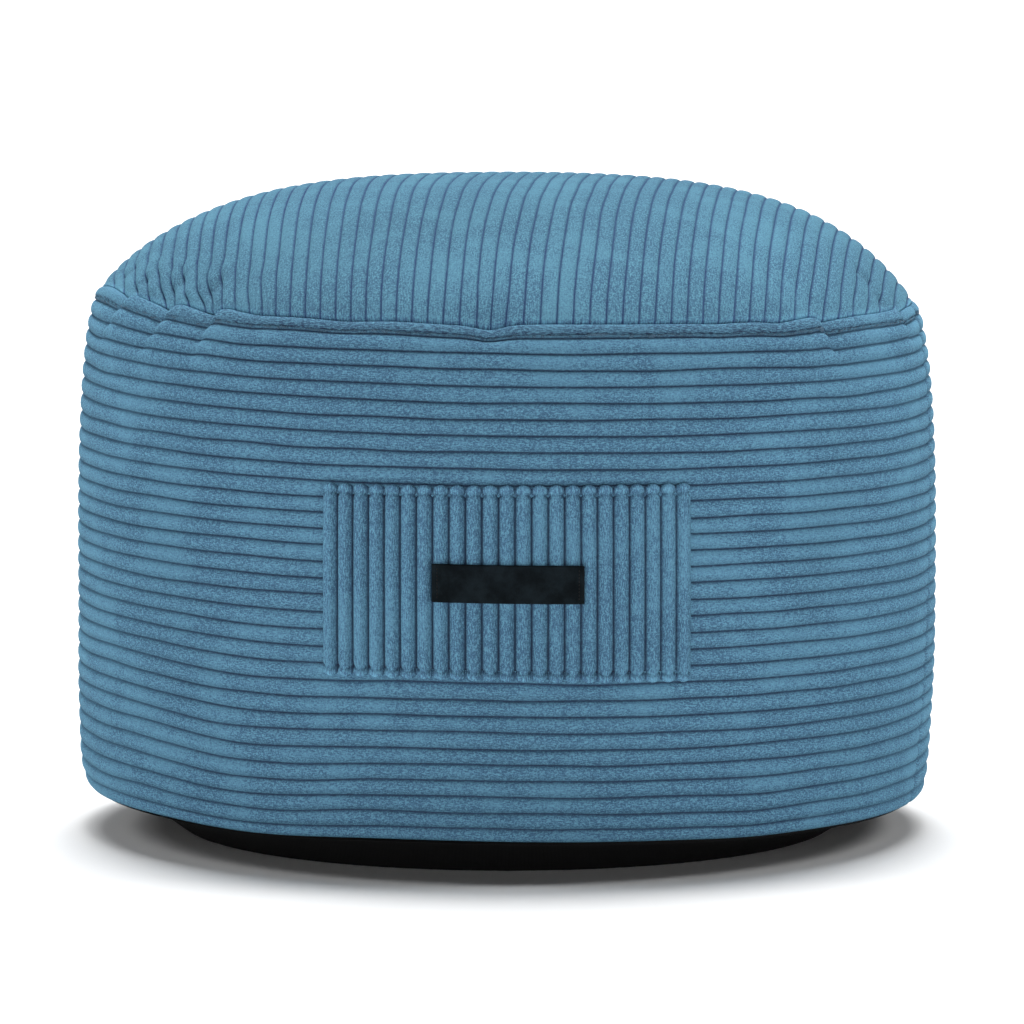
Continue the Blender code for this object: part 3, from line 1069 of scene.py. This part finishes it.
def makeTopPanel():
    number, x, y = layRibs()
    draw = np.random.default_rng(topPanel["seed"])
    away = np.minimum(np.hypot(x, y) / seamRadius, 1)
    toSeam = np.interp(away, crownShares, crownWalked)
    azimuth = np.degrees(np.arctan2(x, -y))
    azimuth = azimuth + turnRibs(x, y, azimuth, away, toSeam, draw)
    even = turned(azimuth, away * seamRadius, crownHeight(away))
    x, y = even[..., 0], even[..., 1]
    normal = turned(azimuth, *crownNormal(away))
    rib = np.floor(number).astype(int)
    inRib = number - rib
    rib = rib - rib.min()
    strength = 1 + 0.06 * draw.normal(size=rib.max() + 2)
    shape = ribShape(inRib, topPanel["ribFullness"], topPanel["ribCorner"])
    # a rib's end rounds off where it goes in behind the seam
    ending = np.clip(1 - toSeam / 0.0012, 0, 1)
    turnedIn = shape * (1 - np.sqrt(1 - 0.75 * ending**2)) * (1 - 0.6 * roundTheSides(azimuth))
    middle, halfWidth, most = topPanel["puffed"]
    puffed = most * hillAt(azimuth, middle, halfWidth)
    puffed = puffed * fade(toSeam, 0.03, 0.11) * ease(toSeam, 0, 0.006)
    below = topPanel["relief"] * (strength[rib] * (1 + puffed) * (1 - shape) + turnedIn)
    below = below + topPanel["seamSink"] * fade(toSeam, 0, topPanel["sinkReach"])
    hollow = 0
    for place, distance, depth, wide, tall in topPanel["hollows"]:
        sideways = np.radians(wrapped(azimuth - place)) * away * seamRadius
        hollow = hollow + depth * hill(sideways, wide) * hill(toSeam - distance, tall)
    lift, sink = gathering(azimuth, 0)
    lift = lift * fade(toSeam, 0, 0.016)
    below = below + hollow + 0.2 * sink * fade(toSeam, 0, 0.022)
    points = even - normal * below[..., None]
    points[..., 2] += lift
    points = settle(points) + normal * swellOver(even, 46, 90)[..., None]
    # the edge turns in under the seam and the underside closes it
    loop = rimLoop(*y.shape)
    flat = points.reshape(-1, 3)
    rim = flat[loop] * np.array([0.978, 0.978, 1]) - np.array([0, 0, 0.0035])
    rimAt = list(range(len(flat), len(flat) + len(loop)))
    faces = gridFaces(*y.shape) + joinLoops(loop, rimAt) + fanFaces(rimAt[::-1], len(flat) + len(loop))
    points = np.concatenate([flat, rim, [[0, 0, rim[:, 2].mean()]]])
    looks = topLooks(number, x, y, azimuth, toSeam, hollow, loop)
    piece = addPiece("topPanel", points, faces, topCloth, **looks)
    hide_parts("top_panel")
    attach(piece, "root")
    print("top panel made:", len(faces), "faces")


# front patch: ribs stand upright, its edges are turned under and stitched down
frontPatch = {
    "ribs": 23,
    "relief": 0.0033,
    "ribFullness": 2.2,
    "ribCorner": 0.6,
    "samples": (0, 0.07, 0.17, 0.32, 0.5, 0.68, 0.83, 0.93),
    # rows of points, from an edge inwards
    "edgeRows": (0, 3e-4, 8e-4, 15e-4, 24e-4, 33e-4, 38e-4, 42e-4, 46e-4, 5e-3, 55e-4, 64e-4, 8e-3),
    "middleRows": 44,
    "scallop": 0.0019,
    "pinch": 0.45,  # the stitch line draws the ribs' flanks down
    "knuckle": 0.0045,  # edge to stitch line
    "crease": 0.0005,
    "edgeRound": 0.0018,
    "turnIn": 0.012,
    "lift": 0.0003,
    "taller": 0.019,  # the patch is cut a little taller at the right: share of its height at either side
    "boxShare": 0.951,  # its box is taller than the patch, as the rings tilt
    "sideCrease": (0.0023, 0.0006, 0.0007),  # from the side edge, half width, depth
    "shades": {"pit": 0.8, "edge": 0.35},
    # painted highlight: how much lighter the patch is painted near its edges
    "paintedHighlightEdge": 0.22,
    "grooveWeaveAndShade": 0.92,
    "stitch": (0.0014, 0.0006, 0.0004),  # length, width, thickness
}


def roundTheFront(box, out):
    # width of a sewn piece along the curve, from its box and how far it stands out
    return 2 * bodyRadius * math.asin((box[1].x - box[0].x) / 2 / (bodyRadius + out))


patchMiddle = (labelBox[0].z + labelBox[1].z) / 2  # the label sits halfway up the patch
patchWidth = roundTheFront(patchBox, 0.0029)
patchHeight = frontPatch["boxShare"] * (patchBox[1].z - patchBox[0].z)
patchThickness = (bodyRadius + patchBox[0].y) * -1 - frontPatch["lift"]


def wrapFront(sideways, height, out):
    # a place on the front of the band: metres round from the middle, height, metres off the ribs' crests
    return settle(turned(np.degrees(sideways / bodyRadius), sideRadius(height) + out, height))


def patchTop(across, up):
    # across counts ribs from the left; up runs from 0 at the bottom edge to 1 at the top edge
    inRib = across - np.minimum(np.floor(across), frontPatch["ribs"] - 1)
    shape = ribShape(inRib, frontPatch["ribFullness"], frontPatch["ribCorner"])
    bulge = frontPatch["scallop"] * (np.sin(math.pi * inRib) - 0.6)
    sideways = (across / frontPatch["ribs"] - 0.5) * patchWidth
    tall = patchHeight * (1 + frontPatch["taller"] * 2 * sideways / patchWidth)
    height = patchMiddle + (up - 0.5) * (tall + 2 * bulge)
    toEdge = np.minimum(up, 1 - up) * patchHeight
    ending = np.clip(1 - toEdge / frontPatch["edgeRound"], 0, 1)
    atStitches = hill(toEdge - frontPatch["knuckle"], 0.001)
    shape = shape - frontPatch["pinch"] * atStitches * (1 - shape) * shape * 4
    out = frontPatch["lift"] + patchThickness - frontPatch["relief"] * (1 - shape)
    out = out - (out + 0.0006) * (1 - np.sqrt(1 - 0.9 * ending**2))
    out = out - frontPatch["crease"] * atStitches * (0.35 + 0.65 * shape)
    fromEdge, halfWidth, depth = frontPatch["sideCrease"]
    out = out - depth * hill(patchWidth / 2 - np.abs(sideways) - fromEdge, halfWidth)
    return sideways, height, out


def makeFrontPatch():
    ribs = frontPatch["ribs"]
    across = [rib + sample for rib in range(ribs) for sample in frontPatch["samples"]]
    across = np.array(across + [ribs])[None, :]
    nearEdge = np.array(frontPatch["edgeRows"])
    middleRows = np.linspace(nearEdge[-1], patchHeight - nearEdge[-1], frontPatch["middleRows"])[1:-1]
    rows = np.concatenate([nearEdge, middleRows, patchHeight - nearEdge[::-1]])[:, None] / patchHeight
    sideways, height, out = np.broadcast_arrays(*patchTop(across, rows))
    points, faces = closedSheet(wrapFront(sideways, height, out), wrapFront(sideways, height, -0.0009))
    toEdge = np.minimum(rows, 1 - rows) * patchHeight + 0 * across
    fromCrest = np.abs(2 * (across - np.floor(across)) - 1)
    pit = hill(toEdge - frontPatch["knuckle"], 0.0011) * ease(fromCrest, 0.45, 0.95)
    looks = {
        "ribAcross": across + 0 * rows,
        "ribAlong": height,
        "shade": frontPatch["shades"]["pit"] * pit + frontPatch["shades"]["edge"] * np.exp(-toEdge / 0.0006),
        "grooveWeaveAndShade": frontPatch["grooveWeaveAndShade"] + 0 * toEdge,
        "napAndPaintedLight": 1 + frontPatch["paintedHighlightEdge"] * fade(toEdge, 0.0015, 0.004),
    }
    looks = {key: np.tile(grid.ravel(), 2) for key, grid in looks.items()}
    piece = addPiece("frontPatch", points, faces, patchCloth, **looks)
    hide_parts("front_patch")
    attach(piece, "root")
    print("front patch made:", len(faces), "faces")
    return piece


def frontStitches(name, places, upright, size, thread):
    # stitches at places on the front, standing up or lying level
    middles = wrapFront(*places)
    outs = unit(middles * np.array([1, 1, 0]))
    alongs = np.tile([0.0, 0.0, 1.0], (len(outs), 1))
    if not upright:
        alongs = np.cross(alongs, outs)
    piece = addStitches(name, middles, alongs, outs, size, thread)
    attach(piece, "root")
    print(name, "made:", len(outs))
    return piece


def makePatchStitches():
    # the pile hides the thread but for one short stitch in each groove along the top and bottom
    line = frontPatch["knuckle"] / patchHeight
    grooves, ups = np.meshgrid(np.arange(1.0, frontPatch["ribs"]), [line, 1 - line], indexing="ij")
    places = patchTop(grooves.ravel(), ups.ravel())
    return frontStitches("patchStitches", places, False, frontPatch["stitch"], seamThread)


# label: one strip of black leather, left bare, stitched down at its ends
leatherLabel = {
    "width": roundTheFront(labelBox, 0.0048),
    "height": labelBox[1].z - labelBox[0].z - 0.0018,
    "off": 0.0032,  # underside over the band's crests
    "thickness": 0.0016,
    "shiftX": 0.0007,
    "corner": 0.0007,
    "edgeRound": 0.0005,
    "edgeDrop": 0.0005,
    "stitchInset": 0.003,
    "dent": 0.00028,
    "ribsShow": 0.0001,  # how much the patch's ribs press through
    "stitch": (0.0013, 0.00055, 0.0004),  # length, width, thickness
    "stitchPitch": 0.0019,
}
labelHalf, labelTall = leatherLabel["width"] / 2, leatherLabel["height"] / 2


def labelTop(sideways, up):
    toEnd = labelHalf - np.abs(sideways)
    toEdge = np.minimum(toEnd, labelTall - np.abs(up))
    ending = np.clip(1 - toEdge / leatherLabel["edgeRound"], 0, 1)
    out = leatherLabel["off"] + leatherLabel["thickness"] - leatherLabel["edgeDrop"] * ending**2
    out = out - leatherLabel["dent"] * hill(toEnd - leatherLabel["stitchInset"], 0.0007)
    overRibs = (sideways + leatherLabel["shiftX"]) / patchWidth * frontPatch["ribs"]
    return out + leatherLabel["ribsShow"] * np.cos(2 * math.pi * overRibs)


def makeLabel():
    edge = np.array([0, 0.00012, 0.00028, 0.0005, 0.001])
    ends = np.concatenate([edge, np.arange(0.0016, 0.0046, 0.0003)])
    sideways = np.linspace(-labelHalf + 0.005, labelHalf - 0.005, 70)
    sideways = np.concatenate([-labelHalf + ends, sideways, labelHalf - ends[::-1]])
    up = np.linspace(-labelTall + 0.0016, labelTall - 0.0016, 16)
    up = np.concatenate([-labelTall + edge, up, labelTall - edge[::-1]])
    across, upward = np.meshgrid(sideways, up)
    out = labelTop(across, upward)
    # corners are cut slightly round
    corner = leatherLabel["corner"]
    inX = np.clip(np.abs(across) - (labelHalf - corner), 0, None)
    inZ = np.clip(np.abs(upward) - (labelTall - corner), 0, None)
    cut = 1 - np.minimum(1, corner / np.maximum(np.hypot(inX, inZ), 1e-9))
    across = across - np.sign(across) * inX * cut + leatherLabel["shiftX"]
    height = patchMiddle + upward - np.sign(upward) * inZ * cut
    under = leatherLabel["off"] - 0.0004
    points, faces = closedSheet(wrapFront(across, height, out), wrapFront(across, height, under))
    piece = addPiece("leatherLabel", points, faces, blackLeather)
    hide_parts("label")
    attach(piece, "root")
    print("label made")
    return piece


def makeLabelStitches():
    pitch = leatherLabel["stitchPitch"]
    count = int((2 * labelTall - 0.002) / pitch)
    inset = labelHalf - leatherLabel["stitchInset"]
    across, up = np.meshgrid([-inset, inset], (np.arange(count) - (count - 1) / 2) * pitch, indexing="ij")
    across, up = across.ravel(), up.ravel()
    places = (across + leatherLabel["shiftX"], patchMiddle + up, labelTop(across, up) + 0.00005)
    return frontStitches("labelStitches", places, True, leatherLabel["stitch"], labelThread)


# base: black cloth that bulges from the hem to the flat it stands on
basePanel = {
    "columns": 240,
    "puckerCount": 46,
    "pucker": 0.0006,
    "inset": 0.0008,
    # share of the way from the rest flat to the hem, height share
    "rows": (
        (1, 1),
        (0.96, 0.985),
        (0.9, 0.965),
        (0.8, 0.92),
        (0.68, 0.85),
        (0.56, 0.75),
        (0.44, 0.62),
        (0.32, 0.46),
        (0.2, 0.28),
        (0.1, 0.12),
        (0.04, 0.03),
        (0, 0),
    ),
    "underRings": (0.15, 0.09, 0.03),
    "seed": 3,
}


def makeBasePanel():
    azimuth = np.degrees(np.linspace(0, 2 * math.pi, basePanel["columns"], endpoint=False))[None, :]
    share, rise = np.array(basePanel["rows"]).T[:, :, None]
    draw = np.random.default_rng(basePanel["seed"])
    wave = 0
    for _ in range(6):
        count = round(basePanel["puckerCount"] * draw.uniform(0.6, 1.5))
        wave = wave + np.sin(count * np.radians(azimuth) + draw.uniform(0.0, 6.28)) / 2.5
    slack = np.sin(math.pi * share) * (1 - share * 0.3)
    span = hemRadius - basePanel["inset"] - body["restRadius"]
    radius = body["restRadius"] + share * span + basePanel["pucker"] * wave * slack
    height = rise * (hemHeight - 0.0002) + 0.0004 * wave * slack * (rise > 0.02)
    side = turned(azimuth, radius, height)
    inside = side[:1] * np.array([0.97, 0.97, 1]) + np.array([0, 0, 0.001])
    under = turned(azimuth, np.array(basePanel["underRings"])[:, None], 0.0)
    centres = [[0, 0, hemHeight + 0.0008], [0, 0, 0]]
    points, faces = closedDrum(np.concatenate([inside, settle(side), under]), centres)
    piece = addPiece("basePanel", points, faces, blackCloth)
    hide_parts("base_panel")
    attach(piece, "root")
    print("base panel made")


makeSideBand()
makeSeamStitches()
makeTopPanel()
patchPiece = makeFrontPatch()
patchThreads = makePatchStitches()
labelPiece = makeLabel()
labelThreads = makeLabelStitches()
makeBasePanel()


# floor, light and camera
stage = {"floorSize": 160, "floorColour": (0.84, 0.84, 0.84), "horizon": 1, "sky": 0}

# strength, spread, elevation, azimuth (0 is the front, degrees)
lights = {
    "topNarrow": (1.2, 14, 81, 180),
    "topBack": (3.7, 44, 66, 180),
    "leftSide": (0.77, 22, 42, -88),
    "rightSide": (0.9, 22, 42, 90),
    "frontSoft": (0.32, 24, 12, 0),
}


def makeStage():
    bpy.ops.mesh.primitive_plane_add(size=stage["floorSize"], location=(0, 0, 0))
    floor = bpy.context.object
    floor.name = "paleFloor"
    material, _, shader = newMaterial("paleFloorPaint")
    setInputs(shader, {"Base Color": (*stage["floorColour"], 1), "Roughness": 1, "Specular IOR Level": 0})
    floor.data.materials.append(material)


def makeLights():
    for name, (strength, spread, elevation, azimuth) in lights.items():
        light = bpy.data.lights.new(name, "SUN")
        light.energy = strength
        light.angle = math.radians(spread)
        lamp = bpy.data.objects.new(name, light)
        up = math.radians(elevation)
        toLamp = Vector(turned(azimuth, math.cos(up), math.sin(up)))
        lamp.rotation_euler = toLamp.to_track_quat("Z", "Y").to_euler()
        bpy.context.scene.collection.objects.link(lamp)


def makeSky():
    world = bpy.data.worlds.new("paleSky")
    bpy.context.scene.world = world
    world.use_nodes = True
    tree = world.node_tree
    tree.nodes.clear()
    # white near the horizon and dark higher up, where the lamps shine
    height = addNode(tree, "SeparateXYZ", {0: addNode(tree, "TexCoord", {}, "Generated")}, "Z")
    bright = rampNode(height, 0.1, 0.32, stage["horizon"], stage["sky"])
    background = addNode(tree, "Background", {"Strength": bright, "Color": (1, 1, 1, 1)})
    setInputs(tree.nodes.new("ShaderNodeOutputWorld"), {"Surface": background})


camera = {"place": (0.0028, -3.493, 0.5255), "down": 5.62, "lens": 211.4, "sensor": 36, "clip": (0.05, 300)}


def makeCamera():
    lens = bpy.data.cameras.new("frontCamera")
    lens.lens = camera["lens"]
    lens.sensor_width = camera["sensor"]
    lens.clip_start, lens.clip_end = camera["clip"]
    eye = bpy.data.objects.new("frontCamera", lens)
    eye.location = camera["place"]
    eye.rotation_euler = (math.radians(90 - camera["down"]), 0, 0)
    bpy.context.scene.collection.objects.link(eye)
    bpy.context.scene.camera = eye


makeStage()
makeLights()
makeSky()
makeCamera()
bpy.context.scene.view_settings.view_transform = "Standard"
print("stage, lights and camera made")
